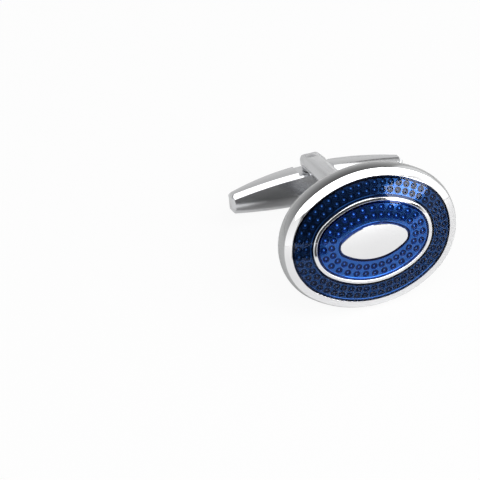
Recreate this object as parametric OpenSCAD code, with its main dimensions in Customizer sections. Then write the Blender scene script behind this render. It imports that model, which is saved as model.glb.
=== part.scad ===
// Oval cufflink with an enamelled head, a forked post and a snap toggle.
// It lies as on a table, on its rim and on the end of its fork, with +Z up.
// Each piece is drawn along the post: the face looks along +Z, X follows the long
// axis of the oval, Y the short one, and height zero is the outer edge of the enamel.

/* [Face] */
// Half-length of the bright oval in the middle
oval_half_l = 4.0; // [3.7:0.05:4.3]
// Half-width of the bright oval in the middle
oval_half_w = 2.0; // [1.9:0.05:2.3]
// Width of the inner enamel band
inner_band_w = 2.66; // [2.2:0.02:3.0]
// Width of the silver ring between the bands
ring_w = 0.42; // [0.3:0.02:0.6]
// Width of the outer enamel band
outer_band_w = 2.3; // [1.9:0.02:2.8]
// Height of the bright oval above the outer edge of the enamel
dome_rise = 0.89; // [0.6:0.01:1.2]
// Depth of the enamel in its cells
enamel_t = 0.45; // [0.35:0.05:0.6]
// Width of a dot of the pattern, a ringed hollow round a boss
dot_w = 0.78; // [0.6:0.02:0.8]
// Width of the boss in the middle of a dot
dot_boss_w = 0.22; // [0.16:0.02:0.3]
// Depth of a dot
dot_t = 0.11; // [0.06:0.01:0.12]
// Number of dots in the inner and the outer row of the outer band
outer_dots = [47, 51]; // [40:1:52]
// Number of dots in the inner and the outer row of the inner band
inner_dots = [28, 28]; // [20:1:29]

/* [Bezel] */
// Width of the polished front band of the rim
rim_w = 0.86; // [0.7:0.02:1.1]
// Radius of the front band's rounding
rim_front_r = 1.3; // [1.1:0.05:1.8]
// Radius of the bulge of the rim's side
rim_side_r = 2.2; // [1.8:0.1:3.0]
// Thickness of the head from the enamel's edge to the back
head_t = 2.4; // [2.0:0.1:3.0]
// Stock of the face plate under the outer cell
plate_stock = 0.55; // [0.4:0.05:0.8]
// Width of the flat border round the back
border_w = 1.4; // [1.2:0.1:2.0]

/* [Post] */
// Distance from the enamel's edge to the pivot
pivot_reach = 19.4; // [17.5:0.1:22]
// Width of the fork along the oval
fork_w = 2.9; // [2.8:0.05:3.1]
// Thickness of an arm at its crown
arm_t = 1.05; // [0.9:0.05:1.2]
// Radius of the arms' crowned outer faces
crown_r = 2.0; // [2.0:0.1:2.6]
// Rounding of the fork's outer corners at the pivot
fork_end_r = 1.0; // [0.6:0.05:1.1]
// Thickness of the fork's closed end at the head
web_t = 1.2; // [0.9:0.1:1.6]

/* [Toggle] */
// Length of the toggle
toggle_l = 21.5; // [19:0.1:23]
// Width of the toggle at the middle, along the pivot
toggle_w = 4.2; // [3.9:0.05:4.6]
// Thickness of the toggle at the middle
toggle_t = 3.3; // [2.9:0.1:3.6]
// Width of the toggle's ends
toggle_end_w = 2.3; // [1.9:0.1:2.8]
// Thickness of the toggle's ends
toggle_end_t = 1.8; // [1.5:0.1:2.2]
// Width of the bevel along the toggle's edges
toggle_bevel = 0.5; // [0.4:0.01:0.6]
// Gap from the fork's side to a shoulder of the toggle
shoulder_gap = 0.75; // [0.6:0.05:1.0]
// Step from the toggle's side down to its hub
hub_step = 0.35; // [0.3:0.05:0.5]

/* [Pivot] */
// Radius of the pivot pin
pin_r = 0.55; // [0.45:0.01:0.6]
// Radius of the riveted heads
rivet_r = 0.72; // [0.68:0.01:0.8]
// Depth of the riveted heads
rivet_t = 0.4; // [0.35:0.05:0.5]
// Running clearance of the toggle round the pin
pin_gap = 0.04; // [0.02:0.01:0.06]
// Thickness of the spring strip
spring_t = 0.25; // [0.2:0.01:0.3]
// Play of the toggle between the spring's legs
wing_gap = 0.1; // [0.08:0.01:0.2]
// Width of the spring strip
spring_w = 2.0; // [1.8:0.1:2.2]
// Radius of the pressed boss round the pin
boss_r = 1.3; // [1.25:0.05:1.4]

/* [Hidden] */

$fn = 96;
// Facets of the toggle's long bows
bow_fn = 1440;
// Steps of a curved stretch of a profile
curve_steps = 8;
// Overrun of every cut
cut = 1;
// Clearances: face plate in the bezel, boss to hub, pin in the fork and in the spring
seat_gap = 0.03;
boss_gap = 0.05;
press_gap = 0.01;
strip_gap = 0.05;

// Offsets of the face's rings, counted outwards from the edge of the bright oval
ring_in = inner_band_w;
ring_out = ring_in + ring_w;
enamel_edge = ring_out + outer_band_w;
rim_in = enamel_edge + seat_gap;
rim_edge = enamel_edge + rim_w;
// Ring and oval stand this proud of the enamel, with this bevel at their edges
metal_proud = 0.05;
metal_bevel = 0.08;
// The dome falls from the bright oval to the edge by this power of the offset
dome_power = 1.5;

// Two rows of dots lie in each band, at these shares of its width
outer_row_shares = [0.34, 0.7];
inner_row_shares = [0.38, 0.71];
// Where the inner and the outer row begin, in shares of their pitch
phase_shares = [0.75, 0.25];
// The hollow of a dot is a round groove, cut by a ring of this thickness and size
groove_half_w = (dot_w - dot_boss_w) / 4;
groove_r = (groove_half_w * groove_half_w + dot_t * dot_t) / (2 * dot_t);
groove_circle_r = (dot_w + dot_boss_w) / 4;

// Oval of four arcs whose common normals run 3 along for every 4 across
normal_shares = [3, 4];
tip_turn = 2 * atan2(normal_shares.y, normal_shares.x);
side_turn = 180 - tip_turn;
tip_r = (3 * oval_half_w - oval_half_l) / 2;
tip_x = oval_half_l - tip_r;
side_r = 2 * oval_half_l - oval_half_w;
side_y = side_r - oval_half_w;
// A slab's side sectors start this far from their centre, inside the oval
core_r = side_y - oval_half_w / 2;

// Heights of the head's layers
plate_bottom = -enamel_t - plate_stock;
back_z = -head_t;
// Inside its border the back is a shallow sunk panel, and the post stands on it
panel_t = 0.15;
panel_z = back_z + panel_t;
border_in = rim_edge - border_w;

// Rim section: a rounded front band, a crisp edge and a bulged side
rim_crest = 0.02;
rim_drop = 0.3;
side_mid_z = (back_z - rim_drop) / 2;
side_half_angle = asin((-rim_drop - back_z) / 2 / rim_side_r);
side_mid_o = rim_edge - rim_side_r * cos(side_half_angle);
front_run = rim_edge - rim_in;
front_fall = rim_crest + rim_drop;
front_tilt = atan2(front_fall, front_run);
front_half_angle = asin(norm([front_run, front_fall]) / 2 / rim_front_r);
front_mid_o = (rim_in + rim_edge) / 2 - rim_front_r * cos(front_half_angle) * sin(front_tilt);
front_mid_z = (rim_crest - rim_drop) / 2 - rim_front_r * cos(front_half_angle) * cos(front_tilt);

// Fork: a bent strip round the toggle and the spring, with rounded inner corners
fork_tip_z = -pivot_reach - fork_w / 2;
strip_in = toggle_w / 2 + wing_gap;
slot_half = strip_in + spring_t;
fork_h = 2 * (slot_half + arm_t);
slot_corner_r = 0.8;
web_corner_r = 1.2;
web_z = panel_z - web_t;

// Spring: a thin strip lining the fork, with a pressed boss and two pips on each leg
strip_corner_r = 1.1;
strip_in_r = strip_corner_r - spring_t;
hub_w = toggle_w - 2 * hub_step;
boss_face = hub_w / 2 + boss_gap;
pip_r = 0.2;
pip_proud = 0.1;
pip_circle_r = 0.9;

// Hub: a round track lets the pips travel, and a deeper dimple catches them at each quarter
track_w = 0.5;
track_t = 0.12;
dimple_r = 0.28;
hub_half_l = fork_w / 2 + shoulder_gap;
tip_bevel = 0.3;

// Lean of the head as it lies: the rim's side and the fork's lower corner touch one plane
lean_y = oval_half_w + side_mid_o - (fork_h / 2 - fork_end_r);
lean_z = side_mid_z - fork_tip_z - fork_end_r;
lean = atan2(lean_y, lean_z) + asin((rim_side_r - fork_end_r) / norm([lean_y, lean_z]));
rest_z = (oval_half_w + side_mid_o) * cos(lean) - side_mid_z * sin(lean) + rim_side_r;
front_y = -front_mid_z * cos(lean) - (oval_half_w + front_mid_o) * sin(lean) - rim_front_r;
fork_y = (-fork_tip_z - fork_end_r) * cos(lean) + (fork_h / 2 - fork_end_r) * sin(lean) + fork_end_r;
toggle_y = (pivot_reach + toggle_t / 2) * cos(lean) + (toggle_w / 2 - toggle_bevel) * sin(lean);
mid_y = (front_y + max(fork_y, toggle_y)) / 2;

function dome_z(o) = dome_rise * (1 - pow(max(o, 0) / enamel_edge, dome_power));
function dome_slope(o) = dome_rise * dome_power / enamel_edge * pow(o / enamel_edge, dome_power - 1);
function tip_way(o) = (tip_r + o) * tip_turn * PI / 180;
function side_way(o) = (side_r + o) * side_turn * PI / 180;
function steps(from, to) = [for (i = [0 : curve_steps]) from + (to - from) * i / curve_steps];
function arc(x, y, r, from, to) = [for (a = steps(from, to)) [x + r * cos(a), y + r * sin(a)]];
function dome_line(from, to, drop) = [for (o = steps(from, to)) [o, dome_z(o) - drop]];

// Lays a piece down as the finished cufflink rests
module lie()
    translate([0, -mid_y, rest_z]) rotate([90 - lean, 0, 0]) children();

// Prism between two of the oval's common normals, pointing along the given axis
module wedge(along, across)
    translate([0, 0, back_z - cut]) linear_extrude(head_t + dome_rise + 2 * cut)
        polygon([[0, 0], rim_edge * (along - across), rim_edge * (along + across)]);

module tip_wedge() wedge([normal_shares.x, 0], [0, normal_shares.y]);

module side_wedge() wedge([0, normal_shares.y], [normal_shares.x, 0]);

// Sweeps a section, drawn as offset and height, round the whole oval
module oval_sweep()
    for (s = [0, 180]) rotate([0, 0, s]) {
        translate([tip_x, 0, 0]) intersection() {
            rotate_extrude() translate([tip_r, 0]) children();
            tip_wedge();
        }
        translate([0, -side_y, 0]) intersection() {
            rotate_extrude() translate([side_r, 0]) children();
            side_wedge();
        }
    }

// Solid oval of a given offset between two heights
module oval_slab(o, low, high)
    for (s = [0, 180]) rotate([0, 0, s]) {
        translate([tip_x, 0, 0]) intersection() {
            translate([0, 0, low]) cylinder(h = high - low, r = tip_r + o);
            tip_wedge();
        }
        translate([0, -side_y, 0]) intersection() {
            rotate_extrude() translate([core_r, low]) square([side_r + o - core_r, high - low]);
            side_wedge();
        }
    }

module rim_section()
    polygon(concat(
        [[rim_in, back_z]],
        arc(side_mid_o, side_mid_z, rim_side_r, -side_half_angle, side_half_angle),
        arc(front_mid_o, front_mid_z, rim_front_r, 90 - front_tilt - front_half_angle,
            90 - front_tilt + front_half_angle)));

module bezel() color("gainsboro") {
    oval_sweep() {
        rim_section();
        translate([border_in, back_z]) square([rim_in - border_in, plate_bottom - back_z]);
    }
    oval_slab(rim_in, panel_z, plate_bottom);
}

// Domed floor of one enamel cell
module cell_floor(from, to)
    polygon(concat([[to, plate_bottom], [from, plate_bottom]], dome_line(from, to, enamel_t)));

// Raised metal between two offsets, with a small bevel at its top edges
module ridge(from, to)
    polygon([[from, plate_bottom], [to, plate_bottom], [to, dome_z(to)],
             [to - metal_bevel, dome_z(to) + metal_proud],
             [from + metal_bevel, dome_z(from) + metal_proud], [from, dome_z(from)]]);

module face_plate() color("silver") {
    oval_slab(-metal_bevel, plate_bottom, dome_rise + metal_proud);
    oval_sweep() {
        ridge(-2 * metal_bevel, 0);
        cell_floor(0, ring_in);
        ridge(ring_in, ring_out);
        cell_floor(ring_out, enamel_edge);
    }
}

module enamel_section(from, to)
    polygon(concat(dome_line(to, from, 0), dome_line(from, to, enamel_t)));

// Ring that cuts one dot into a level surface
module dot() rotate_extrude() translate([groove_circle_r, groove_r - dot_t]) circle(groove_r);

// Puts a piece on the oval of a given offset, this far along its half, with X outwards
module on_oval(o, way)
    if (way < tip_way(o))
        translate([tip_x, 0, 0]) rotate([0, 0, way / tip_way(o) * tip_turn - tip_turn / 2])
            translate([tip_r + o, 0, 0]) children();
    else
        translate([0, -side_y, 0])
            rotate([0, 0, tip_turn / 2 + (way - tip_way(o)) / side_way(o) * side_turn])
                translate([side_r + o, 0, 0]) children();

// Row of dots round the oval, begun at a share of their pitch
module dot_row(o, count, phase) {
    half_way = tip_way(o) + side_way(o);
    for (i = [0 : count - 1]) {
        way = (i + phase) / count * 2 * half_way;
        rotate([0, 0, way < half_way ? 0 : 180]) on_oval(o, way < half_way ? way : way - half_way)
            translate([0, 0, dome_z(o)]) rotate([0, atan(dome_slope(o)), 0]) dot();
    }
}

// Enamel of one cell with its two rows of dots, staggered by half a pitch
module enamel(from, to, row_shares, counts) difference() {
    oval_sweep() enamel_section(from, to);
    for (i = [0, 1]) dot_row(from + row_shares[i] * (to - from), counts[i], phase_shares[i]);
}

module outer_enamel() color([0.05, 0.08, 0.22])
    enamel(ring_out, enamel_edge, outer_row_shares, outer_dots);

module inner_enamel() color([0.08, 0.2, 0.6]) enamel(0, ring_in, inner_row_shares, inner_dots);

// Upright box, symmetric about Y, with rounded lower and upper corners
module soft_box(half, low, high, low_r, high_r) {
    for (s = [-1, 1]) {
        translate([s * (half - low_r), low + low_r]) circle(low_r);
        translate([s * (half - high_r), high - high_r]) circle(high_r);
    }
    translate([low_r - half, low]) square([2 * (half - low_r), high - low - high_r]);
    translate([high_r - half, low + low_r]) square([2 * (half - high_r), high - low - low_r]);
    translate([-half, low + low_r]) square([2 * half, high - low - low_r - high_r]);
}

// Side view, drawn as Y and Z, given a width along X
module side_view(w) rotate([90, 0, 90]) linear_extrude(w, center = true) children();

// Cylinder on the pivot's axis, from one height along it to another
module on_pivot(r, low, high)
    translate([0, low, -pivot_reach]) rotate([-90, 0, 0]) cylinder(h = high - low, r = r);

// Outer form of the fork: a bent strip with crowned outer faces and round ends
module fork_form() intersection() {
    side_view(fork_w) soft_box(fork_h / 2, fork_tip_z, panel_z, fork_end_r, web_corner_r);
    translate([0, 0, fork_tip_z - cut]) linear_extrude(panel_z - fork_tip_z + 2 * cut) {
        for (s = [-1, 1]) translate([0, s * (fork_h / 2 - crown_r)]) circle(crown_r);
        square([2 * crown_r, fork_h - 2 * crown_r], center = true);
    }
    union() {
        on_pivot(fork_w / 2, -fork_h, fork_h);
        translate([-fork_w / 2, -fork_h, -pivot_reach]) cube([fork_w, 2 * fork_h, pivot_reach]);
    }
}

module post_fork() color("silver") difference() {
    fork_form();
    side_view(fork_w + 2 * cut)
        soft_box(slot_half, fork_tip_z - slot_corner_r - cut, web_z, slot_corner_r, slot_corner_r);
    on_pivot(pin_r + press_gap, -fork_h, fork_h);
    for (s = [0, 180]) rotate([0, 0, s]) on_pivot(rivet_r + press_gap, fork_h / 2 - rivet_t, fork_h);
}

module pivot_pin() color("white") intersection() {
    union() {
        on_pivot(pin_r, -fork_h, fork_h);
        for (s = [0, 180]) rotate([0, 0, s]) on_pivot(rivet_r, fork_h / 2 - rivet_t, fork_h);
    }
    fork_form();
}

module detent_spring() color("slategray") difference() {
    union() {
        side_view(spring_w) difference() {
            soft_box(slot_half, fork_tip_z, web_z, strip_corner_r, strip_corner_r);
            translate([0, -spring_t]) soft_box(strip_in, fork_tip_z, web_z, strip_in_r, strip_in_r);
            translate([-fork_h, fork_tip_z - cut]) square([2 * fork_h, fork_w / 2 + cut]);
        }
        for (s = [0, 180]) rotate([0, 0, s]) {
            on_pivot(boss_r, boss_face, slot_half);
            for (t = [-1, 1]) translate([t * pip_circle_r, boss_face + pip_r - pip_proud, -pivot_reach])
                sphere(pip_r);
        }
    }
    on_pivot(pin_r + strip_gap, -fork_h, fork_h);
}

// Bar bounded on one side by a bow that is highest at the middle, cut through all else
module bow_side(mid, end) {
    sag = mid - end;
    bow_r = (toggle_l * toggle_l / 4 + sag * sag) / (2 * sag);
    translate([0, mid - bow_r]) circle(bow_r, $fn = bow_fn);
}

// Diamond that bevels the corners of both ends, where the bar is this wide
module tip_trim(end_w)
    rotate(45) square(sqrt(2) * (toggle_l / 2 + end_w / 2 - tip_bevel), center = true);

// Wing form: flat towards the head, bowed outside and across, with bevelled long edges
module toggle_form() {
    out_mid = toggle_t / 2;
    out_end = toggle_end_t - toggle_t / 2;
    bevel_mid = (toggle_w / 2 + toggle_t / 2 - toggle_bevel) / sqrt(2);
    bevel_end = (toggle_end_w / 2 + toggle_t / 2 - toggle_bevel) / sqrt(2);
    far_end = (toggle_end_w / 2 + out_end - toggle_bevel) / sqrt(2);
    intersection() {
        cube([toggle_l, 2 * toggle_w, toggle_t], center = true);
        linear_extrude(2 * toggle_t, center = true) intersection() {
            bow_side(toggle_w / 2, toggle_end_w / 2);
            rotate(180) bow_side(toggle_w / 2, toggle_end_w / 2);
            tip_trim(toggle_end_w);
        }
        rotate([-90, 0, 0]) linear_extrude(2 * toggle_w, center = true) intersection() {
            bow_side(out_mid, out_end);
            translate([0, (toggle_end_t - toggle_t) / 2]) tip_trim(toggle_end_t);
        }
        for (s = [-45, 45]) rotate([90 + s, 0, 0]) linear_extrude(2 * toggle_w, center = true)
            bow_side(bevel_mid, bevel_end);
        for (s = [-45, 45]) rotate([-90 + s, 0, 0]) linear_extrude(2 * toggle_w, center = true)
            bow_side(bevel_mid, far_end);
    }
}

module toggle() color("gainsboro") difference() {
    translate([0, 0, -pivot_reach]) toggle_form();
    for (s = [0, 180]) rotate([0, 0, s]) {
        translate([-hub_half_l, hub_w / 2, -pivot_reach - toggle_t])
            cube([2 * hub_half_l, toggle_w, 2 * toggle_t]);
        difference() {
            on_pivot(pip_circle_r + track_w / 2, hub_w / 2 - track_t, hub_w);
            on_pivot(pip_circle_r - track_w / 2, 0, 2 * hub_w);
        }
        for (t = [0 : 90 : 270]) translate([0, hub_w / 2, -pivot_reach])
            rotate([0, t, 0]) translate([pip_circle_r, 0, 0]) sphere(dimple_r);
    }
    on_pivot(pin_r + pin_gap, -fork_h, fork_h);
}

lie() bezel();
lie() face_plate();
lie() outer_enamel();
lie() inner_enamel();
lie() post_fork();
lie() detent_spring();
lie() pivot_pin();
lie() toggle();
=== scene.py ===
import math

import bpy
from mathutils import Euler, Matrix, Vector


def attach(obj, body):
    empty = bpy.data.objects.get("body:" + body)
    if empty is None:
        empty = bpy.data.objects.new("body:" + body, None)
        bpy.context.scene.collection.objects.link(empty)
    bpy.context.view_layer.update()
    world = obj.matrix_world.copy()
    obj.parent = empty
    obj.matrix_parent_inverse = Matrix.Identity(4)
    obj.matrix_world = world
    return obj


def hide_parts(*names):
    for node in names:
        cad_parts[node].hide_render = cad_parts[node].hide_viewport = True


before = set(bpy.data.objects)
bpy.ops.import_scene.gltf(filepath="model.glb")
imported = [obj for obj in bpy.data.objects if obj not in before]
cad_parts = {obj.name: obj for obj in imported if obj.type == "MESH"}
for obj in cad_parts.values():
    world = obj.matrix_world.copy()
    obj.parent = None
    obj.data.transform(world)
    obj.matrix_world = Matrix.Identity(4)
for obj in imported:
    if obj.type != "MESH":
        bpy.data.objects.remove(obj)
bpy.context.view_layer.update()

print("solids loaded:", len(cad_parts))

# every piece is modelled upright in millimetres: X along the oval, Z out of the face,
# zero at the edge of the enamel; at the end it is laid down as the finished cufflink rests
restingPlace = {"lean": 15.2701, "height": 8.63963, "middle": 9.39854, "metresPerUnit": 0.001}

# the bright oval has four arcs, and every ring round it is that oval grown by an offset
centreOval = {"tipX": 3.0, "tipRadius": 1.0, "sideY": 4.0, "sideRadius": 6.0, "joinAngle": 53.1301,
              "tipSteps": 30, "sideSteps": 34}

# how the dome of the face falls from the bright oval to the rim
dome = {"rise": 0.89, "edge": 5.38, "power": 1.5}

# offsets of the borders between oval, inner band, ring, outer band and rim
bands = {"oval": 0.0, "ringInside": 2.66, "ringOutside": 3.08, "enamelEdge": 5.38, "rimInside": 5.41,
         "rimOutside": 6.24}

sameSpot = 0.0005  # points this close are merged
sameLevel = 0.001  # an edge this close to a level lies on it
sideShare = 0.49  # a rounded corner takes at most this share of the line on either side
spare = 1.0  # cutters reach this far, or a few times as far, past what they cut


def domeHeight(offset):
    return dome["rise"] * (1 - (max(offset, 0.0) / dome["edge"]) ** dome["power"])


def domeSlope(offset):
    steepness = dome["rise"] * dome["power"] / dome["edge"]
    return steepness * (max(offset, 0.0) / dome["edge"]) ** (dome["power"] - 1)


def onDome(offset, lift):
    # a point of a profile, lifted above the dome or sunk below it
    return offset, domeHeight(offset) + lift


def clearSelection():
    if bpy.context.object and bpy.context.object.mode != "OBJECT":
        closeEdit()
    bpy.ops.object.select_all(action="DESELECT")


def pick(piece):
    clearSelection()
    piece.select_set(True)
    bpy.context.view_layer.objects.active = piece


def editMesh(piece, kind="EDGE", selectAll=True):
    pick(piece)
    bpy.ops.object.mode_set(mode="EDIT")
    bpy.ops.mesh.select_mode(type=kind)
    bpy.ops.mesh.select_all(action="SELECT" if selectAll else "DESELECT")


def closeEdit():
    bpy.ops.object.mode_set(mode="OBJECT")


def selectWhere(piece, kind, test):
    # selects the points or the edges whose ends all pass the test
    editMesh(piece, kind, selectAll=False)
    closeEdit()
    points = piece.data.vertices
    for item in points if kind == "VERT" else piece.data.edges:
        ends = [item.index] if kind == "VERT" else item.vertices
        item.select = test([points[i].co for i in ends])
    bpy.ops.object.mode_set(mode="EDIT")


def tidyMesh(piece):
    # merges doubles and turns every face outwards
    editMesh(piece, "VERT")
    bpy.ops.mesh.remove_doubles(threshold=sameSpot)
    bpy.ops.mesh.normals_make_consistent(inside=False)
    closeEdit()


def closeHoles(piece):
    editMesh(piece, "EDGE", selectAll=False)
    bpy.ops.mesh.select_non_manifold()
    bpy.ops.mesh.fill_holes(sides=0)
    closeEdit()
    tidyMesh(piece)


def extrudeRing(rise, share, height):
    # lifts the selected ring of edges and scales it about the axis
    bpy.ops.mesh.extrude_edges_move(TRANSFORM_OT_translate={"value": (0, 0, rise)})
    bpy.ops.transform.resize(value=(share, share, 1), center_override=(0, 0, height))


def applyModifier(piece, kind, **settings):
    pick(piece)
    modifier = piece.modifiers.new(kind.lower(), kind)
    for key, value in settings.items():
        setattr(modifier, key, value)
    bpy.ops.object.modifier_apply(modifier=modifier.name)


def carve(piece, tool, operation="DIFFERENCE"):
    applyModifier(piece, "BOOLEAN", object=tool, operation=operation, solver="EXACT")
    bpy.data.objects.remove(tool)


def softenEdges(piece, width, segments, angle):
    applyModifier(piece, "BEVEL", width=width, segments=segments, limit_method="ANGLE",
                  angle_limit=math.radians(angle), miter_outer="MITER_ARC", use_clamp_overlap=True)


def finishPiece(piece, finish, body, node, smoothAngle=30.0):
    # lays the piece down, gives it its finish, ties it to its body and hides the solid it stands for
    pick(piece)
    scale = restingPlace["metresPerUnit"]
    piece.scale = (scale, scale, scale)
    piece.rotation_euler = (math.radians(90 - restingPlace["lean"]), 0, 0)
    piece.location = (0, -restingPlace["middle"] * scale, restingPlace["height"] * scale)
    bpy.ops.object.transform_apply(location=True, rotation=True, scale=True)
    bpy.ops.object.shade_smooth_by_angle(angle=math.radians(smoothAngle))
    piece.data.materials.clear()
    piece.data.materials.append(finish)
    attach(piece, body)
    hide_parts(node)
    print("finished", piece.name, len(piece.data.polygons), "faces")


class Signal:
    # wraps an output socket, so that maths on it adds its Math nodes
    def __init__(self, recipe, socket):
        self.recipe = recipe
        self.socket = socket

    def maths(self, operation, first, second, clamp=False):
        return self.recipe.add("ShaderNodeMath", {"operation": operation, "use_clamp": clamp},
                               {0: first, 1: second})

    def __add__(self, other):
        return self.maths("ADD", self, other)

    def __radd__(self, other):
        return self.maths("ADD", other, self)

    def __sub__(self, other):
        return self.maths("SUBTRACT", self, other)

    def __rsub__(self, other):
        return self.maths("SUBTRACT", other, self)

    def __mul__(self, other):
        return self.maths("MULTIPLY", self, other)

    def __rmul__(self, other):
        return self.maths("MULTIPLY", other, self)

    def __truediv__(self, other):
        return self.maths("DIVIDE", self, other)

    def __rtruediv__(self, other):
        return self.maths("DIVIDE", other, self)

    def __abs__(self):
        return self.recipe.add("ShaderNodeMath", {"operation": "ABSOLUTE"}, {0: self})

    def clamped(self):
        return self.maths("ADD", self, 0.0, clamp=True)


class Recipe:
    # one material and its nodes, or those of the world's own tree
    def __init__(self, name, tree=None):
        self.material = None
        if tree is None:
            self.material = bpy.data.materials.new(name)
            self.material.use_nodes = True
            tree = self.material.node_tree
        self.tree = tree
        self.tree.nodes.clear()

    def add(self, kind, settings=None, inputs=None, output=0):
        made = self.tree.nodes.new(kind)
        for key, value in (settings or {}).items():
            setattr(made, key, value)
        for key, value in (inputs or {}).items():
            if isinstance(value, Signal):
                self.tree.links.new(value.socket, made.inputs[key])
            else:
                made.inputs[key].default_value = value
        return Signal(self, made.outputs[output])

    def place(self):
        return self.add("ShaderNodeTexCoord", output="Object")

    def stretched(self, scale, turn):
        return self.add("ShaderNodeMapping", {},
                        {"Vector": self.place(), "Scale": scale, "Rotation": turn})

    def attribute(self, name):
        return self.add("ShaderNodeAttribute", {"attribute_name": name}, output="Fac")

    def noise(self, place, scale, detail=2.0, roughness=0.5):
        return self.add("ShaderNodeTexNoise", {"noise_dimensions": "3D"},
                        {"Vector": place, "Scale": scale, "Detail": detail, "Roughness": roughness})

    def mixColours(self, share, first, second):
        return self.add("ShaderNodeMix", {"data_type": "RGBA"}, {0: share, 6: first, 7: second},
                        output=2)

    def bump(self, height, strength, distance):
        return self.add("ShaderNodeBump", {},
                        {"Height": height, "Strength": strength, "Distance": distance})

    def finish(self, shader, kind="ShaderNodeOutputMaterial"):
        made = self.tree.nodes.new(kind)
        self.tree.links.new(shader.socket, made.inputs["Surface"])
        return self.material


def polishedMetal(name, settings):
    # bright plating with faint polishing lines and a trace of haze; where the side-and-back
    # attribute is 1, on the side and back of the rim, it is plainer, less polished and darker:
    # the darker colour is partly a plainer finish and partly painted shade
    recipe = Recipe(name)
    along = recipe.stretched(settings["lineScale"], settings["lineTurn"])
    lines = recipe.noise(along, scale=1.0, roughness=0.6)
    haze = recipe.noise(recipe.place(), settings["hazeScale"], detail=4.0, roughness=0.6)
    colour = recipe.mixColours(haze, settings["colour"], settings["shade"])
    rough = (settings["roughness"] + (lines - 0.5) * settings["lineRoughness"]
             + (haze - 0.5) * settings["hazeRoughness"])
    if "plainShadedColour" in settings:
        # the plain colour darkens the side and back: partly a plainer finish, partly painted shade
        plain = recipe.attribute("plainAndShadedShare")
        colour = recipe.mixColours(plain, colour, settings["plainShadedColour"])
        rough = rough + plain * settings["plainRoughness"]
    relief = recipe.bump(lines, settings["lineBump"], distance=0.00001)
    shader = recipe.add("ShaderNodeBsdfPrincipled", {}, {
        "Base Color": colour, "Metallic": 1.0, "Roughness": rough.clamped(), "Normal": relief})
    return recipe.finish(shader)


def enamelDepth(name, settings):
    # struck metal seen through coloured enamel: the deeper it lies, the darker it is
    recipe = Recipe(name)
    depth = recipe.attribute("enamelDepth")
    share = ((depth - settings["shallow"]) / (settings["deep"] - settings["shallow"])).clamped()
    cloud = recipe.noise(recipe.place(), settings["cloudScale"], detail=3.0)
    share = (share + (cloud - 0.5) * settings["cloud"]).clamped()
    colour = recipe.mixColours(share, settings["lightColour"], settings["deepColour"])
    grain = recipe.noise(recipe.place(), settings["grainScale"])
    shader = recipe.add("ShaderNodeBsdfPrincipled", {}, {
        "Base Color": colour, "Metallic": 1.0,
        "Roughness": (settings["roughness"] + (grain - 0.5) * settings["grain"]).clamped()})
    return recipe.finish(shader)


def enamelSurface(name, settings):
    # clear glossy top of the enamel, slightly tinted, with a trace of orange peel;
    # light that comes back up from the metal passes it without a mirror image
    recipe = Recipe(name)
    peel = recipe.noise(recipe.place(), settings["peelScale"])
    relief = recipe.bump(peel, settings["peel"], distance=0.00002)
    clear = recipe.add("ShaderNodeBsdfTransparent", {}, {"Color": settings["tint"]})
    gloss = recipe.add("ShaderNodeBsdfGlossy", {}, {
        "Color": (1, 1, 1, 1), "Roughness": settings["roughness"], "Normal": relief})
    fromBelow = recipe.add("ShaderNodeNewGeometry", output="Backfacing")
    mirror = recipe.add("ShaderNodeFresnel", {}, {"IOR": settings["ior"], "Normal": relief})
    shader = recipe.add("ShaderNodeMixShader", {}, {0: mirror * (1.0 - fromBelow), 1: clear, 2: gloss})
    return recipe.finish(shader)


def ovalArcs(offset=0.0):
    # the four arcs of a grown oval, tip and side by turns: middle, radius, first angle and turn
    tipTurn = 2 * math.radians(centreOval["joinAngle"])
    sideTurn = math.pi - tipTurn
    tipX, sideY = centreOval["tipX"], centreOval["sideY"]
    tipReach, sideReach = centreOval["tipRadius"] + offset, centreOval["sideRadius"] + offset
    return [((tipX, 0, 0), tipReach, -tipTurn / 2, tipTurn),
            ((0, -sideY, 0), sideReach, tipTurn / 2, sideTurn),
            ((-tipX, 0, 0), tipReach, math.pi - tipTurn / 2, tipTurn),
            ((0, sideY, 0), sideReach, math.pi + tipTurn / 2, sideTurn)]


def ovalOffset(x, y):
    # how far a point lies outside the bright oval
    x, y = abs(x), abs(y)
    if x * centreOval["sideY"] > centreOval["tipX"] * (y + centreOval["sideY"]):
        return math.hypot(x - centreOval["tipX"], y) - centreOval["tipRadius"]
    return math.hypot(x, y + centreOval["sideY"]) - centreOval["sideRadius"]


def ovalPoint(offset, share):
    # a place on a grown oval, by its share of the way round, and the way outwards there
    arcs = ovalArcs(offset)
    halfWay = sum(reach * turn for middle, reach, start, turn in arcs[:2])
    way = (share % 1.0) * 2 * halfWay
    for middle, reach, start, turn in arcs:
        if way <= reach * turn:
            break
        way -= reach * turn
    angle = start + way / reach
    outwards = Vector((math.cos(angle), math.sin(angle), 0))
    return Vector(middle) + outwards * reach, outwards


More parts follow.
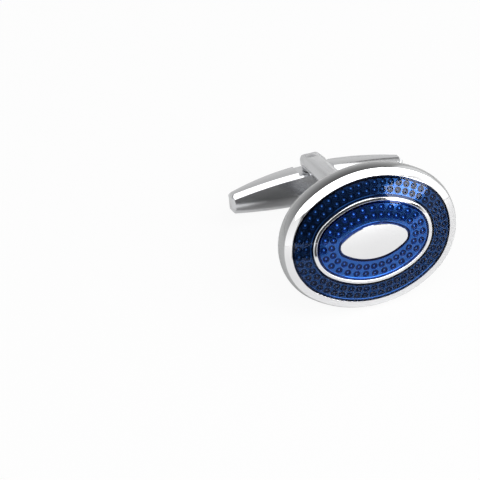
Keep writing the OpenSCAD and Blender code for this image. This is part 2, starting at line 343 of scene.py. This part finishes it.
def spinOval(name, profile, closed=False):
    # sweeps a profile of (offset, height) through the four arcs of the oval; an open profile
    # leaves an inner and an outer border
    clearSelection()
    bpy.ops.mesh.primitive_circle_add(vertices=len(profile), radius=1.0)
    piece = bpy.context.active_object
    piece.name = name
    start = -math.radians(centreOval["joinAngle"])
    for vertex, (offset, height) in zip(piece.data.vertices, profile):
        reach = centreOval["tipRadius"] + offset
        vertex.co = (centreOval["tipX"] + reach * math.cos(start), reach * math.sin(start), height)
    if not closed:
        editMesh(piece, "EDGE", selectAll=False)
        closeEdit()
        last = len(profile) - 1
        for edge in piece.data.edges:
            edge.select = set(edge.vertices) == {0, last}
        bpy.ops.object.mode_set(mode="EDIT")
        bpy.ops.mesh.delete(type="EDGE")
        closeEdit()
    editMesh(piece, "VERT")
    steps = 2 * [centreOval["tipSteps"], centreOval["sideSteps"]]
    for (middle, reach, start, turn), count in zip(ovalArcs(), steps):
        bpy.ops.mesh.spin(steps=count, angle=-turn, center=middle, axis=(0, 0, 1))
    closeEdit()
    editMesh(piece, "VERT")
    bpy.ops.mesh.remove_doubles(threshold=sameSpot)
    closeEdit()
    return piece


def bendLine(points, corners):
    # a profile whose named corners are rounded: corners is {index: (radius, steps)}
    line = []
    for i, point in enumerate(points):
        if i not in corners:
            line.append(tuple(point))
            continue
        radius, steps = corners[i]
        here = Vector(point)
        back = Vector(points[i - 1]) - here
        ahead = Vector(points[(i + 1) % len(points)]) - here
        half = back.angle(ahead) / 2
        reach = min(radius / math.tan(half), sideShare * back.length, sideShare * ahead.length)
        first, last = here + back.normalized() * reach, here + ahead.normalized() * reach
        for k in range(steps + 1):
            t = k / steps
            line.append(tuple(first * (1 - t) ** 2 + here * 2 * t * (1 - t) + last * t ** 2))
    return line


def arcLine(middle, radius, first, last, steps):
    angles = [math.radians(first + (last - first) * k / steps) for k in range(steps + 1)]
    return [(middle[0] + radius * math.cos(a), middle[1] + radius * math.sin(a)) for a in angles]


# rim and back: a nearly flat front band, a bulged side, a flat border and a shallow sunk panel;
# each soft corner is (radius, steps); below a set level the side and back get a plainer finish
# whose darker colour is partly painted shade
rim = {"crest": 0.02, "edgeDrop": 0.3, "back": -2.4, "panel": -2.25, "borderInside": 4.84, "seat": -1.0,
       "frontRadius": 6.0, "frontSteps": 9, "sideRadius": 2.2, "sideSteps": 12,
       "softFront": (0.03, 4), "softEdge": (0.2, 4), "softBack": (0.16, 5), "softPanel": (0.06, 3),
       "plainShadedBelow": -0.3,
       "finish": {"colour": (0.93, 0.93, 0.935, 1), "shade": (0.88, 0.88, 0.89, 1), "roughness": 0.05,
                  "lineRoughness": 0.05, "hazeRoughness": 0.05, "lineScale": (90, 1400, 1400),
                  "lineTurn": (0, 0, 0), "lineBump": 0.06, "hazeScale": 260.0,
                  "plainShadedColour": (0.52, 0.525, 0.53, 1), "plainRoughness": 0.1}}


def rimFront():
    # a shallow arc from the crest down to the edge
    inside, outside = bands["rimInside"], bands["rimOutside"]
    crest, drop, radius = rim["crest"], rim["edgeDrop"], rim["frontRadius"]
    run, fall = outside - inside, crest + drop
    tilt, half = math.atan2(fall, run), math.asin(math.hypot(run, fall) / 2 / radius)
    hold = radius * math.cos(half)
    middle = ((inside + outside) / 2 - hold * math.sin(tilt), (crest - drop) / 2 - hold * math.cos(tilt))
    return arcLine(middle, radius, 90 - math.degrees(tilt) + math.degrees(half),
                   90 - math.degrees(tilt) - math.degrees(half), rim["frontSteps"])


def rimSide():
    outside, drop, radius = bands["rimOutside"], rim["edgeDrop"], rim["sideRadius"]
    half = math.asin((-drop - rim["back"]) / 2 / radius)
    middle = (outside - radius * math.cos(half), (rim["back"] - drop) / 2)
    return arcLine(middle, radius, math.degrees(half), -math.degrees(half), rim["sideSteps"])


def makeBezel():
    front, side = rimFront(), rimSide()
    seat = [(bands["oval"], rim["seat"]), (bands["rimInside"], rim["seat"])]
    back = [(rim["borderInside"], rim["back"]), (rim["borderInside"], rim["panel"]),
            (bands["oval"], rim["panel"])]
    edge = len(seat) + len(front) - 1
    last = edge + len(side) - 1
    corners = {len(seat): rim["softFront"], edge: rim["softEdge"], last: rim["softBack"],
               last + 1: rim["softPanel"]}
    piece = spinOval("rimAndBack", bendLine(seat + front + side[1:] + back, corners))
    closeHoles(piece)
    # the side and back, below a set level, are marked for the plainer finish and its darker colour, which
    # is partly painted shade
    plain = piece.data.attributes.new("plainAndShadedShare", "FLOAT", "POINT")
    for i, vertex in enumerate(piece.data.vertices):
        plain.data[i].value = 1.0 if vertex.co.z < rim["plainShadedBelow"] else 0.0
    finishPiece(piece, polishedMetal("brightRim", rim["finish"]), "head_and_post",
                "bezel")


# die-struck face with the floors of its two cells, its ring and its bright oval; the walls of
# ring and oval start a little below the dome
face = {"bottom": -1.0, "cellDepth": 0.45, "floorSteps": 6, "proud": 0.05, "root": -0.02,
        "ringCrown": 0.052, "ringBevel": 0.06, "ringHold": 0.045, "ringSoft": (0.035, 3),
        "ovalBevel": 0.05, "ovalCrown": 0.05, "ovalRings": 9, "smoothAngle": 25.0,
        "finish": {"colour": (0.93, 0.93, 0.935, 1), "shade": (0.88, 0.88, 0.89, 1), "roughness": 0.06,
                   "lineRoughness": 0.05, "hazeRoughness": 0.05, "lineScale": (120, 1700, 1700),
                   "lineTurn": (0, 0, 0.3), "lineBump": 0.05, "hazeScale": 320.0}}


def cellFloor(first, last):
    steps = face["floorSteps"]
    return [onDome(first + (last - first) * k / steps, -face["cellDepth"]) for k in range(steps + 1)]


def makeFacePlate():
    proud, root, bevel = face["proud"], face["root"], face["ringBevel"]
    inner, outer, edge = bands["ringInside"], bands["ringOutside"], bands["enamelEdge"]
    # the ring has bevelled edges and is held flat between them, so that its core mirrors evenly
    hold, middle = bevel + face["ringHold"], (inner + outer) / 2
    ring = [onDome(inner, root), onDome(inner + bevel, proud), onDome(inner + hold, proud),
            onDome(middle, face["ringCrown"]), onDome(outer - hold, proud),
            onDome(outer - bevel, proud), onDome(outer, root)]
    ovalTop = domeHeight(0) + proud
    oval = [(-face["ovalBevel"], ovalTop), onDome(0.0, root)]
    inside = oval + cellFloor(0.0, inner)
    base = [(edge, face["bottom"]), (0.0, face["bottom"])]
    ringEnd = len(inside) + len(ring) - 1
    corners = {len(inside) + 1: face["ringSoft"], ringEnd - 1: face["ringSoft"]}
    piece = spinOval("struckFace", bendLine(inside + ring + cellFloor(outer, edge) + base, corners))
    # the bright oval is closed by rings that shrink and rise to a low crown
    selectWhere(piece, "EDGE", lambda ends: all(
        abs(e.z - ovalTop) < sameSpot and ovalOffset(e.x, e.y) < 0 for e in ends))
    size, top = 1.0, ovalTop
    for k in range(face["ovalRings"]):
        share = 1 - (k + 1) / (face["ovalRings"] + 1)
        height = ovalTop + face["ovalCrown"] * (1 - share ** 2)
        extrudeRing(height - top, share / size, height)
        size, top = share, height
    bpy.ops.mesh.edge_collapse()
    closeEdit()
    closeHoles(piece)
    finishPiece(piece, polishedMetal("brightFace", face["finish"]), "head_and_post",
                "face_plate", face["smoothAngle"])


# enamel: struck rows of dots below and a clear glossy top above; a dot's profile is given as
# (radius, height), and a band's rows as (offset, dots, share of a step by which they are shifted)
# the tips of the bosses, within a small reach of each dot's middle, are coloured as if shallow: a painted
# highlight on each dot
dot = {"sides": 18, "profile": [(0.4, 0.05), (0.378, 0.0), (0.34, -0.055), (0.29, -0.082),
                                (0.23, -0.085), (0.17, -0.058), (0.11, -0.022), (0.055, -0.004)],
       "top": 0.0, "tipReach": 0.08, "paintedGlintDepth": 0.02}
enamel = {"floor": 0.1, "border": 0.24, "lip": 0.05, "stepWidth": 0.05, "floorSteps": 6,
          "underside": 0.44, "smoothAngle": 33.0, "topLap": 0.01, "topSteps": 10, "topUnderside": 0.4}
outerBand = {"inside": 3.08, "outside": 5.38, "step": 0.25, "rows": [(3.862, 47, 0.75), (4.69, 51, 0.25)],
             "depth": {"shallow": 0.04, "deep": 0.18, "lightColour": (0.026, 0.088, 0.26, 1),
                       "deepColour": (0.002, 0.008, 0.03, 1), "cloudScale": 500.0, "cloud": 0.15,
                       "roughness": 0.14, "grainScale": 9000.0, "grain": 0.06},
             "top": {"tint": (0.88, 0.95, 1.0, 1), "roughness": 0.05, "ior": 1.28,
                     "peelScale": 700.0, "peel": 0.04}}
innerBand = {"inside": 0.0, "outside": 2.66, "step": 0.28, "rows": [(1.011, 28, 0.75), (1.889, 28, 0.25)],
             "depth": {"shallow": 0.04, "deep": 0.18, "lightColour": (0.06, 0.21, 0.68, 1),
                       "deepColour": (0.003, 0.014, 0.08, 1), "cloudScale": 500.0, "cloud": 0.15,
                       "roughness": 0.14, "grainScale": 9000.0, "grain": 0.06},
             "top": {"tint": (0.9, 0.96, 1.0, 1), "roughness": 0.03, "ior": 1.27,
                     "peelScale": 700.0, "peel": 0.04}}


def makeDot():
    # the cutter of one dot: it leaves a ringed hollow with a low boss in its middle
    clearSelection()
    radius, height = dot["profile"][0]
    bpy.ops.mesh.primitive_circle_add(vertices=dot["sides"], radius=radius, location=(0, 0, height),
                                      fill_type="NGON")
    cutter = bpy.context.active_object
    editMesh(cutter, "EDGE")
    for nextRadius, nextHeight in dot["profile"][1:]:
        extrudeRing(nextHeight - height, nextRadius / radius, nextHeight)
        radius, height = nextRadius, nextHeight
    bpy.ops.mesh.extrude_edges_move(TRANSFORM_OT_translate={"value": (0, 0, dot["top"] - height)})
    bpy.ops.mesh.edge_collapse()
    closeEdit()
    tidyMesh(cutter)
    return cutter


def layDots(band):
    # copies the cutter along both rows, square to the dome, and joins the copies to one tool
    cutter = makeDot()
    copies, centres = [], []
    for offset, count, shift in band["rows"]:
        for k in range(count):
            place, outwards = ovalPoint(offset, (k + shift) / count)
            normal = (outwards * domeSlope(offset) + Vector((0, 0, 1))).normalized()
            along = Vector((0, 0, 1)).cross(outwards)
            across = along.cross(normal)
            turn = Matrix((across, along, normal)).transposed().to_4x4()
            place.z = domeHeight(offset) - enamel["floor"]
            centres.append(place.copy())
            copy = cutter.copy()
            copy.data = cutter.data.copy()
            bpy.context.collection.objects.link(copy)
            copy.matrix_world = Matrix.Translation(place) @ turn
            copies.append(copy)
    bpy.data.objects.remove(cutter)
    bpy.context.view_layer.update()
    pick(copies[0])
    for copy in copies:
        copy.select_set(True)
    bpy.ops.object.join()
    return bpy.context.active_object, centres


def makeRelief(name, band, node):
    # sunk borders, a thin lip at each step and the field of dots between the lips
    inside, outside, steps = band["inside"], band["outside"], enamel["floorSteps"]
    step, width, border, lip = band["step"], enamel["stepWidth"], enamel["border"], enamel["lip"]
    field = step + width
    span = outside - inside - 2 * field
    places = [(inside, border), (inside + step - width, border), (inside + step, lip)]
    places += [(inside + field + span * k / steps, enamel["floor"]) for k in range(steps + 1)]
    places += [(outside - step, lip), (outside - step + width, border), (outside, border)]
    places += [(offset, enamel["underside"]) for offset in (outside, (inside + outside) / 2, inside)]
    relief = spinOval(name + "Relief", [onDome(offset, -depth) for offset, depth in places], closed=True)
    tidyMesh(relief)
    tool, centres = layDots(band)
    carve(relief, tool)
    # how deep each point lies below the glaze; the tips of the bosses are given a shallow depth, so that
    # they take the lightest colour as a painted highlight
    depths = relief.data.attributes.new("enamelDepth", "FLOAT", "POINT")
    for i, vertex in enumerate(relief.data.vertices):
        isPaintedGlint = any((vertex.co - centre).length < dot["tipReach"] for centre in centres)
        depth = domeHeight(ovalOffset(vertex.co.x, vertex.co.y)) - vertex.co.z
        depths.data[i].value = dot["paintedGlintDepth"] if isPaintedGlint else depth
    finishPiece(relief, enamelDepth(name + "Depth", band["depth"]), "head_and_post", node,
                enamel["smoothAngle"])


def makeGlaze(name, band, node):
    # the clear top follows the dome and laps a little into the metal on both sides
    inside, outside = band["inside"], band["outside"]
    lap, steps, under = enamel["topLap"], enamel["topSteps"], enamel["topUnderside"]
    width = outside - inside + 2 * lap
    surface = [onDome(inside - lap + width * k / steps, 0.0) for k in range(steps + 1)]
    below = [(outside + lap, domeHeight(outside) - under), (inside - lap, domeHeight(inside) - under)]
    glaze = spinOval(name + "Glaze", surface + below, closed=True)
    tidyMesh(glaze)
    finishPiece(glaze, enamelSurface(name + "Top", band["top"]), "head_and_post", node)


# forked post: a crowned strip bent to a U, with its closed end on the back of the head
post = {"width": 2.9, "height": 7.0, "top": -2.25, "pivot": -19.4, "tip": -20.85, "crown": 2.0,
        "crownSides": 192, "headCorner": 1.2, "endCorner": 1.0, "slotHalf": 2.45, "slotTop": -3.45,
        "slotCorner": 0.8, "rivet": 0.72, "rivetDepth": 0.4, "pin": 0.55, "clearance": 0.01,
        "soft": {"width": 0.07, "segments": 3, "angle": 32.0}, "smoothAngle": 35.0,
        "finish": {"colour": (0.8, 0.805, 0.815, 1), "shade": (0.72, 0.725, 0.74, 1), "roughness": 0.17,
                   "lineRoughness": 0.08, "hazeRoughness": 0.08, "lineScale": (2200, 160, 2200),
                   "lineTurn": (0.27, 0, 0), "lineBump": 0.12, "hazeScale": 300.0}}


def addBlock(name, low, high):
    clearSelection()
    middle = [(a + b) / 2 for a, b in zip(low, high)]
    bpy.ops.mesh.primitive_cube_add(size=1.0, location=middle)
    block = bpy.context.active_object
    block.name = name
    block.scale = [b - a for a, b in zip(low, high)]
    bpy.ops.object.transform_apply(location=True, rotation=True, scale=True)
    return block


def addRod(name, radius, low, high, axis="Y", place=(0, 0, 0), sides=96):
    clearSelection()
    turn = {"Y": (math.pi / 2, 0, 0), "Z": (0, 0, 0)}[axis]
    middle = list(place)
    middle["XYZ".index(axis)] += (low + high) / 2
    bpy.ops.mesh.primitive_cylinder_add(vertices=sides, radius=radius, depth=high - low,
                                        location=middle, rotation=turn)
    rod = bpy.context.active_object
    rod.name = name
    bpy.ops.object.transform_apply(location=True, rotation=True, scale=True)
    return rod


def pivotRod(name, radius, low, high):
    return addRod(name, radius, low, high, place=(0, 0, post["pivot"]))


def addBall(radius, place):
    clearSelection()
    bpy.ops.mesh.primitive_uv_sphere_add(segments=16, ring_count=8, radius=radius, location=place)
    return bpy.context.active_object


def stretchHalf(piece, axis, shift, middle):
    # moves the half beyond the middle, on the side of the shift, and makes a rod a long oval bar
    side = math.copysign(1, shift)
    selectWhere(piece, "VERT", lambda points: all(side * p[axis] > side * middle for p in points))
    way = [0.0, 0.0, 0.0]
    way[axis] = shift
    bpy.ops.transform.translate(value=way)
    closeEdit()


def roundedBlock(name, half, low, high, width, lowRadius, highRadius, segments=10):
    # a block along the post with its four corners rounded in side view
    block = addBlock(name, (-width / 2, -half, low), (width / 2, half, high))
    for radius, level in ((highRadius, high), (lowRadius, low)):
        selectWhere(block, "EDGE", lambda ends: abs(ends[0].x - ends[1].x) > width / 2 and all(
            abs(e.z - level) < sameLevel and abs(abs(e.y) - half) < sameLevel for e in ends))
        bpy.ops.mesh.bevel(offset=radius, segments=segments, affect="EDGES", clamp_overlap=False)
        closeEdit()
    return block


def postBlock(name, width):
    return roundedBlock(name, post["height"] / 2, post["tip"], post["top"], width, post["endCorner"],
                        post["headCorner"])


def crownBar():
    # the crowned outside of both arms, as one long bar
    bar = addRod("crownBar", post["crown"], post["tip"] - spare, post["top"] + spare, axis="Z",
                 sides=post["crownSides"])
    spread = post["height"] / 2 - post["crown"]
    stretchHalf(bar, 1, spread, sameLevel)
    stretchHalf(bar, 1, -spread, -sameLevel)
    return bar


def rivetSpans():
    height, depth = post["height"], post["rivetDepth"]
    return (-height, -height / 2 + depth), (height / 2 - depth, height)


def makePost():
    width, height = post["width"], post["height"]
    piece = postBlock("forkedPost", width)
    carve(piece, crownBar(), "INTERSECT")
    plan = pivotRod("plan", width / 2, -height, height)
    stretchHalf(plan, 2, post["top"] - post["pivot"] + spare, post["pivot"] + sameLevel)
    carve(piece, plan, "INTERSECT")
    carve(piece, roundedBlock("slot", post["slotHalf"], post["tip"] - 2 * spare, post["slotTop"],
                              width + 2 * spare, post["slotCorner"], post["slotCorner"]))
    for low, high in rivetSpans():
        carve(piece, pivotRod("seat", post["rivet"] + post["clearance"], low, high))
    carve(piece, pivotRod("bore", post["pin"] + post["clearance"], -height, height))
    tidyMesh(piece)
    softenEdges(piece, **post["soft"])
    finishPiece(piece, polishedMetal("brightPost", post["finish"]), "head_and_post",
                "post_fork", post["smoothAngle"])


# pivot rivet, flush with the crown of both arms
rivet = {"soft": {"width": 0.05, "segments": 2, "angle": 35.0},
         "finish": {"colour": (0.78, 0.785, 0.8, 1), "shade": (0.7, 0.705, 0.72, 1), "roughness": 0.16,
                    "lineRoughness": 0.06, "hazeRoughness": 0.08, "lineScale": (1800, 1800, 300),
                    "lineTurn": (0, 0, 0), "lineBump": 0.1, "hazeScale": 500.0}}


def makePin():
    reach = post["height"] / 2 + spare / 2
    piece = pivotRod("pivotRivet", post["pin"], -reach, reach)
    for low, high in rivetSpans():
        carve(piece, pivotRod("head", post["rivet"], low, high), "UNION")
    carve(piece, crownBar(), "INTERSECT")
    carve(piece, postBlock("ends", post["width"] + 2 * spare), "INTERSECT")
    tidyMesh(piece)
    softenEdges(piece, **rivet["soft"])
    finishPiece(piece, polishedMetal("rivetMetal", rivet["finish"]), "head_and_post",
                "pivot_pin")


# detent spring: a strip that lines the slot, with a boss and two pips on each leg
spring = {"strip": 0.25, "width": 2.0, "corner": 1.1, "boss": 1.3, "bossFace": 1.8, "pip": 0.2,
          "pipCircle": 0.9, "pipProud": 0.1, "eye": 0.6,
          "soft": {"width": 0.03, "segments": 2, "angle": 35.0},
          "finish": {"colour": (0.6, 0.61, 0.63, 1), "shade": (0.5, 0.51, 0.53, 1), "roughness": 0.26,
                     "lineRoughness": 0.12, "hazeRoughness": 0.08, "lineScale": (2600, 140, 2600),
                     "lineTurn": (0.27, 0, 0), "lineBump": 0.2, "hazeScale": 300.0}}


def makeSpring():
    half, tip, top, pivot = post["slotHalf"], post["tip"], post["slotTop"], post["pivot"]
    strip, width, corner = spring["strip"], spring["width"], spring["corner"]
    piece = roundedBlock("detentStrip", half, tip, top, width, corner, corner)
    carve(piece, roundedBlock("inside", half - strip, tip - 2 * spare, top - strip, width + 2 * spare,
                              corner - strip, corner - strip))
    carve(piece, addBlock("ends", (-3 * spare, -4 * spare, tip - 3 * spare), (3 * spare, 4 * spare, pivot)))
    for side in (-1, 1):
        low, high = sorted((side * spring["bossFace"], side * half))
        carve(piece, pivotRod("boss", spring["boss"], low, high), "UNION")
        sunk = spring["bossFace"] + spring["pip"] - spring["pipProud"]
        for end in (-1, 1):
            pip = addBall(spring["pip"], (end * spring["pipCircle"], side * sunk, pivot))
            carve(piece, pip, "UNION")
    carve(piece, pivotRod("eye", spring["eye"], -post["height"], post["height"]))
    tidyMesh(piece)
    softenEdges(piece, **spring["soft"])
    finishPiece(piece, polishedMetal("springSteel", spring["finish"]), "head_and_post",
                "detent_spring")


# whale-back toggle: flat towards the head, bowed outside, with a narrowed hub that has a
# track and four dimples on each side; an edge is long when it runs on along the bar
toggle = {"length": 21.5, "width": 4.2, "thickness": 3.3, "endWidth": 2.3, "endThickness": 1.8,
          "bevel": 0.5, "tipBevel": 0.3, "steps": 48, "longRun": 0.05, "longReach": 0.02,
          "hubHalf": 2.2, "hubWidth": 3.5, "track": 0.9, "trackWidth": 0.5, "trackDepth": 0.12,
          "dimple": 0.28, "bore": 0.59, "soft": {"width": 0.06, "segments": 3, "angle": 25.0},
          "finish": {"colour": (0.8, 0.805, 0.815, 1), "shade": (0.73, 0.735, 0.75, 1), "roughness": 0.13,
                     "lineRoughness": 0.07, "hazeRoughness": 0.08, "lineScale": (140, 2000, 2000),
                     "lineTurn": (0, 0, 0), "lineBump": 0.1, "hazeScale": 260.0}}


def bowed(middle, end, x):
    half = toggle["length"] / 2
    sag = middle - end
    radius = (half * half + sag * sag) / (2 * sag)
    return middle - radius + math.sqrt(radius * radius - x * x)


def halfWidth(x):
    return bowed(toggle["width"] / 2, toggle["endWidth"] / 2, x)


def bowedBack(x):
    half = toggle["thickness"] / 2
    return -bowed(half, toggle["endThickness"] - half, x)


def isLongEdge(ends):
    # an edge where a broad side of the toggle meets its flat or its bowed face
    half, reach = toggle["thickness"] / 2, toggle["longReach"]
    return abs(ends[0].x - ends[1].x) > toggle["longRun"] and all(
        abs(abs(e.y) - halfWidth(e.x)) <= reach
        and min(abs(e.z - half), abs(e.z - bowedBack(e.x))) <= reach for e in ends)


def toggleBar():
    clearSelection()
    bpy.ops.mesh.primitive_grid_add(x_subdivisions=toggle["steps"], y_subdivisions=1, size=1.0)
    bar = bpy.context.active_object
    bar.name = "whaleBackToggle"
    editMesh(bar, "FACE")
    bpy.ops.mesh.extrude_region_move(TRANSFORM_OT_translate={"value": (0, 0, 1)})
    closeEdit()
    for vertex in bar.data.vertices:
        x = vertex.co.x * toggle["length"]
        isFlatSide = vertex.co.z > 0.5
        vertex.co = (x, math.copysign(halfWidth(x), vertex.co.y),
                     toggle["thickness"] / 2 if isFlatSide else bowedBack(x))
    tidyMesh(bar)
    end = toggle["length"] / 2
    selectWhere(bar, "EDGE", lambda ends: all(abs(abs(e.x) - end) < sameLevel for e in ends))
    bpy.ops.mesh.bevel(offset=toggle["tipBevel"], segments=1, affect="EDGES")
    closeEdit()
    selectWhere(bar, "EDGE", isLongEdge)
    bpy.ops.mesh.bevel(offset=toggle["bevel"], segments=1, affect="EDGES")
    closeEdit()
    bar.data.transform(Matrix.Translation((0, 0, post["pivot"])))
    tidyMesh(bar)
    return bar


def makeToggle():
    piece = toggleBar()
    pivot, circle, halfTrack = post["pivot"], toggle["track"], toggle["trackWidth"] / 2
    hubSide = toggle["hubWidth"] / 2
    for side in (-1, 1):
        low, high = sorted((side * hubSide, side * toggle["width"]))
        carve(piece, addBlock("hubCut", (-toggle["hubHalf"], low, pivot - 4 * spare),
                              (toggle["hubHalf"], high, pivot + 4 * spare)))
        low, high = sorted((side * (hubSide - toggle["trackDepth"]), side * toggle["hubWidth"]))
        track = pivotRod("track", circle + halfTrack, low, high)
        carve(track, pivotRod("core", circle - halfTrack, low - spare, high + spare))
        carve(piece, track)
        for quarter in range(4):
            angle = quarter * math.pi / 2
            carve(piece, addBall(toggle["dimple"], (circle * math.cos(angle), side * hubSide,
                                                    pivot + circle * math.sin(angle))))
    carve(piece, pivotRod("bore", toggle["bore"], -5 * spare, 5 * spare))
    tidyMesh(piece)
    softenEdges(piece, **toggle["soft"])
    finishPiece(piece, polishedMetal("brightToggle", toggle["finish"]), "toggle_bar",
                "toggle")


# floor, light and camera: a pale room with a soft key lamp in front above, a weak one overhead,
# a small one at the right for the patch on the outer band, and a dark card on the table in
# front, outside the picture, which the face mirrors
studio = {"floorSize": 0.9, "floorColour": (0.6, 0.6, 0.6, 1), "floorShown": 0.93,
          "cardColour": (0.05, 0.05, 0.05, 1), "cardLow": (-0.024, -0.44), "cardHigh": (-0.004, -0.056),
          "cardShown": 0.985, "cardLift": 0.0004,
          "horizonLevel": 0.7, "topLevel": 0.1, "frontGain": 0.35,
          "darkLevel": 0.06, "darkMiddle": 0.17, "darkHalf": 0.41, "darkTop": 0.36,
          "rightEdge": 0.6, "rightLevel": 1.2, "soften": 0.06,
          "lamps": [
              {"name": "keyBox", "place": (0.1, -0.31, 0.33), "size": (0.74, 0.36), "power": 2.75,
               "aim": (0, 0, 0.01)},
              {"name": "topBox", "place": (0.03, -0.06, 0.35), "size": (0.25, 0.2), "power": 0.24,
               "aim": (0, 0, 0.01)},
              {"name": "rightBox", "place": (0.126, -0.2275, 0.061), "size": (0.062, 0.036),
               "power": 0.058, "aim": (0.004, -0.01, 0.012)}]}
photoView = {"place": (-0.080192, -0.214589, 0.180969), "turn": (51.966, 1.567, -18.741),
             "lens": 187.5, "sensor": 36.0, "near": 0.01, "far": 10}


def makeSheet(name, low, high, lift, colour, shown):
    # a matte sheet on the table, which the camera sees as white with a trace of its shadows
    clearSelection()
    bpy.ops.mesh.primitive_plane_add(size=1.0)
    sheet = bpy.context.active_object
    sheet.name = name
    sheet.scale = (high[0] - low[0], high[1] - low[1], 1.0)
    sheet.location = ((low[0] + high[0]) / 2, (low[1] + high[1]) / 2, lift)
    bpy.ops.object.transform_apply(location=True, rotation=True, scale=True)
    recipe = Recipe(name)
    matte = recipe.add("ShaderNodeBsdfDiffuse", {}, {"Color": colour})
    white = recipe.add("ShaderNodeEmission", {}, {"Color": (1, 1, 1, 1), "Strength": 1.0})
    camera = recipe.add("ShaderNodeLightPath", output="Is Camera Ray")
    shader = recipe.add("ShaderNodeMixShader", {}, {0: camera * shown, 1: matte, 2: white})
    sheet.data.materials.append(recipe.finish(shader))


def makeRoom():
    # white to the camera; to all else pale grey, brighter in front, with a dark zone low in
    # front and a bright one at the far right
    world = bpy.data.worlds.new("studioWorld")
    bpy.context.scene.world = world
    world.use_nodes = True
    room = Recipe("studioRoom", world.node_tree)
    direction = room.add("ShaderNodeTexCoord")
    right, back, up = [room.add("ShaderNodeSeparateXYZ", {}, {0: direction}, axis) for axis in "XYZ"]
    soften = studio["soften"]
    inFront = ((0.0 - back) / soften).clamped()
    pale = (up.clamped() * (studio["topLevel"] - studio["horizonLevel"]) + studio["horizonLevel"]
            + inFront * studio["frontGain"])
    dark = (((studio["darkHalf"] - abs(right - studio["darkMiddle"])) / soften).clamped()
            * ((studio["darkTop"] - up) / soften).clamped() * inFront)
    level = pale - dark * (pale - studio["darkLevel"])
    farRight = ((right - studio["rightEdge"]) / soften).clamped()
    level = level - farRight * (level - studio["rightLevel"])
    camera = room.add("ShaderNodeLightPath", output="Is Camera Ray")
    plain = room.add("ShaderNodeBackground", {}, {"Color": (1, 1, 1, 1), "Strength": level})
    bright = room.add("ShaderNodeBackground", {}, {"Color": (1, 1, 1, 1), "Strength": 1.0})
    room.finish(room.add("ShaderNodeMixShader", {}, {0: camera, 1: plain, 2: bright}),
                "ShaderNodeOutputWorld")


def makeStudio():
    half = studio["floorSize"] / 2
    makeSheet("paleFloor", (-half, -half), (half, half), 0.0, studio["floorColour"],
              studio["floorShown"])
    makeSheet("darkCard", studio["cardLow"], studio["cardHigh"], studio["cardLift"],
              studio["cardColour"], studio["cardShown"])
    makeRoom()

    for lamp in studio["lamps"]:
        light = bpy.data.lights.new(lamp["name"], "AREA")
        light.shape = "RECTANGLE"
        light.size, light.size_y = lamp["size"]
        light.energy = lamp["power"]
        holder = bpy.data.objects.new(lamp["name"], light)
        bpy.context.collection.objects.link(holder)
        holder.location = lamp["place"]
        way = Vector(lamp["aim"]) - Vector(lamp["place"])
        holder.rotation_euler = way.to_track_quat("-Z", "Y").to_euler()

    view = bpy.data.cameras.new("photoView")
    view.lens = photoView["lens"]
    view.sensor_width = photoView["sensor"]
    view.clip_start = photoView["near"]
    view.clip_end = photoView["far"]
    camera = bpy.data.objects.new("photoView", view)
    bpy.context.collection.objects.link(camera)
    camera.location = photoView["place"]
    camera.rotation_euler = Euler([math.radians(a) for a in photoView["turn"]], "XYZ")
    bpy.context.scene.camera = camera
    bpy.context.scene.view_settings.view_transform = "Standard"
    print("studio ready")


makeStudio()
makeBezel()
makeFacePlate()
for name, band, slot, node in (("outerBand", outerBand, "navy_enamel", "outer_enamel"),
                               ("innerBand", innerBand, "blue_enamel", "inner_enamel")):
    makeRelief(name, band, node)
    makeGlaze(name, band, node)
makePost()
makePin()
makeSpring()
makeToggle()
